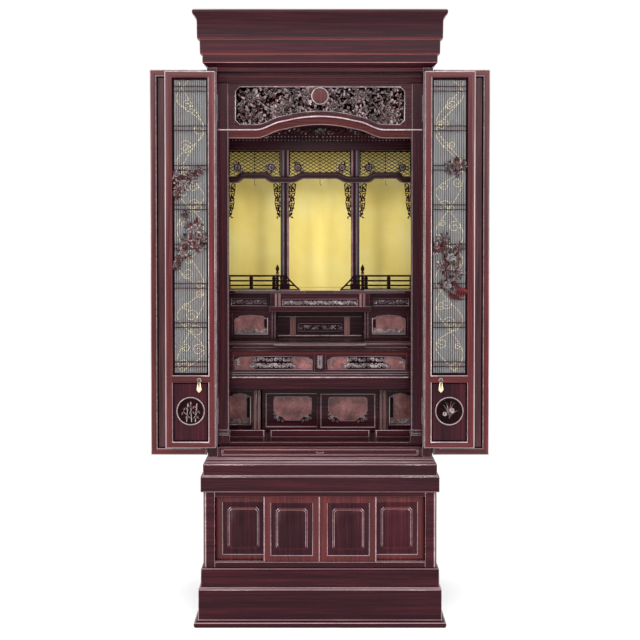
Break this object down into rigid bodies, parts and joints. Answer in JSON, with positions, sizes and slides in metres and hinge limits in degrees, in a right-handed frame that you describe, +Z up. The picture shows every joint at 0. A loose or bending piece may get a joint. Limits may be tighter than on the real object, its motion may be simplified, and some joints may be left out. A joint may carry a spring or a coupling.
{
  "type": "household altar cabinet",
  "caption": "Floor-standing household altar cabinet: sliding doors below, a tiered altar hall behind folding solid and lattice doors, and a pull-out board.",
  "frame": {"origin": "middle of the underside, halfway from the door pulls to the back, on the floor", "axes": "+Z up, +X to the right as one faces the cabinet, +Y from the front to the back"},
  "size_m": [0.8282, 0.4999, 1.498],
  "materials": {
    "rosewood": "gloss",
    "burl": "gloss",
    "gold": "gold leaf",
    "gauze": "woven",
    "pull_metal": "satin"
  },
  "bodies": {
    "cabinet": {"plinth": "rosewood", "lower_floor": "rosewood", "lower_back": "rosewood", "lower_side_left": "rosewood", "lower_side_right": "rosewood", "lower_front_frame": "rosewood", "ledge": "rosewood", "corner_post_left": "rosewood", "corner_post_right": "rosewood", "front_stile_left": "rosewood", "front_stile_right": "rosewood", "side_left": "rosewood", "side_right": "rosewood", "upper_back": "rosewood", "upper_floor": "rosewood", "roof": "rosewood", "cornice": "rosewood", "frieze_rail": "rosewood", "arch_board": "rosewood", "transom_carving": "rosewood", "crest_beam": "rosewood", "palace_column_left": "rosewood", "palace_column_right": "rosewood", "bay_left": "rosewood", "bay_centre": "rosewood", "bay_right": "rosewood", "hall_floor": "rosewood", "railing_left": "rosewood", "railing_right": "rosewood", "relief_casing": "rosewood", "middle_row": "rosewood", "step_board": "rosewood", "drawer_band": "rosewood", "cupboard_panel_left": "rosewood", "cupboard_panel_right": "rosewood", "floor_bar_left": "rosewood", "floor_bar_centre": "rosewood", "floor_bar_right": "rosewood", "gold_screen": "gold"},
    "board": {"pull_out_board": "rosewood"},
    "lower_far_left": {"lower_door_far_left": "rosewood"},
    "lower_left": {"lower_door_left": "rosewood"},
    "lower_right": {"lower_door_right": "rosewood"},
    "lower_far_right": {"lower_door_far_right": "rosewood"},
    "cupboard_left": {"cupboard_door_left": "burl"},
    "outer_left": {"outer_door_left": "rosewood"},
    "outer_left_folded": {"outer_door_left_folded": "rosewood"},
    "lattice_left": {"lattice_door_left": "rosewood", "lattice_door_left_gauze": "gauze"},
    "lattice_left_folded": {"lattice_door_left_folded": "rosewood", "lattice_door_left_folded_gauze": "gauze", "door_pull_left": "pull_metal"},
    "cupboard_right": {"cupboard_door_right": "burl"},
    "outer_right": {"outer_door_right": "rosewood"},
    "outer_right_folded": {"outer_door_right_folded": "rosewood"},
    "lattice_right": {"lattice_door_right": "rosewood", "lattice_door_right_gauze": "gauze"},
    "lattice_right_folded": {"lattice_door_right_folded": "rosewood", "lattice_door_right_folded_gauze": "gauze", "door_pull_right": "pull_metal"}
  },
  "joints": [
    {"name": "doors_left", "type": "hinge", "parent": "cabinet", "child": "outer_left", "pos_m": [-0.2765, -0.2015, 0.8866], "axis": [0, 0, 1], "range_deg": [0, 180]},
    {"name": "outer_fold_left", "type": "hinge", "parent": "outer_left", "child": "outer_left_folded", "pos_m": [-0.4144, -0.1747, 0.8866], "axis": [0, 0, 1], "range_deg": [0, 180]},
    {"name": "lattice_swing_left", "type": "hinge", "parent": "cabinet", "child": "lattice_left", "pos_m": [-0.249, -0.2, 0.8942], "axis": [0, 0, 1], "range_deg": [0, 180]},
    {"name": "lattice_fold_left", "type": "hinge", "parent": "lattice_left", "child": "lattice_left_folded", "pos_m": [-0.3732, -0.2223, 0.8942], "axis": [0, 0, 1], "range_deg": [-180, 0]},
    {"name": "doors_right", "type": "hinge", "parent": "cabinet", "child": "outer_right", "pos_m": [0.2765, -0.2015, 0.8866], "axis": [0, 0, -1], "range_deg": [0, 180]},
    {"name": "outer_fold_right", "type": "hinge", "parent": "outer_right", "child": "outer_right_folded", "pos_m": [0.4144, -0.1747, 0.8866], "axis": [0, 0, -1], "range_deg": [0, 180]},
    {"name": "lattice_swing_right", "type": "hinge", "parent": "cabinet", "child": "lattice_right", "pos_m": [0.249, -0.2, 0.8942], "axis": [0, 0, -1], "range_deg": [0, 180]},
    {"name": "lattice_fold_right", "type": "hinge", "parent": "lattice_right", "child": "lattice_right_folded", "pos_m": [0.3732, -0.2223, 0.8942], "axis": [0, 0, -1], "range_deg": [-180, 0]},
    {"name": "slide_far_left", "type": "slide", "parent": "cabinet", "child": "lower_far_left", "axis": [1, 0, 0], "range_m": [0, 0.118]},
    {"name": "slide_left", "type": "slide", "parent": "cabinet", "child": "lower_left", "axis": [-1, 0, 0], "range_m": [0, 0.118]},
    {"name": "slide_right", "type": "slide", "parent": "cabinet", "child": "lower_right", "axis": [1, 0, 0], "range_m": [0, 0.118]},
    {"name": "slide_far_right", "type": "slide", "parent": "cabinet", "child": "lower_far_right", "axis": [-1, 0, 0], "range_m": [0, 0.118]},
    {"name": "slide_cupboard_left", "type": "slide", "parent": "cabinet", "child": "cupboard_left", "axis": [1, 0, 0], "range_m": [0, 0.143]},
    {"name": "slide_cupboard_right", "type": "slide", "parent": "cabinet", "child": "cupboard_right", "axis": [-1, 0, 0], "range_m": [0, 0.143]},
    {"name": "slide_board", "type": "slide", "parent": "cabinet", "child": "board", "axis": [0, 1, 0], "range_m": [-0.3, 0]}
  ],
  "couplings": [
    {"joint": "outer_fold_left", "follows": "doors_left", "ratio": 1},
    {"joint": "lattice_swing_left", "follows": "doors_left", "ratio": 1},
    {"joint": "lattice_fold_left", "follows": "doors_left", "ratio": -1},
    {"joint": "outer_fold_right", "follows": "doors_right", "ratio": 1},
    {"joint": "lattice_swing_right", "follows": "doors_right", "ratio": 1},
    {"joint": "lattice_fold_right", "follows": "doors_right", "ratio": -1}
  ]
}
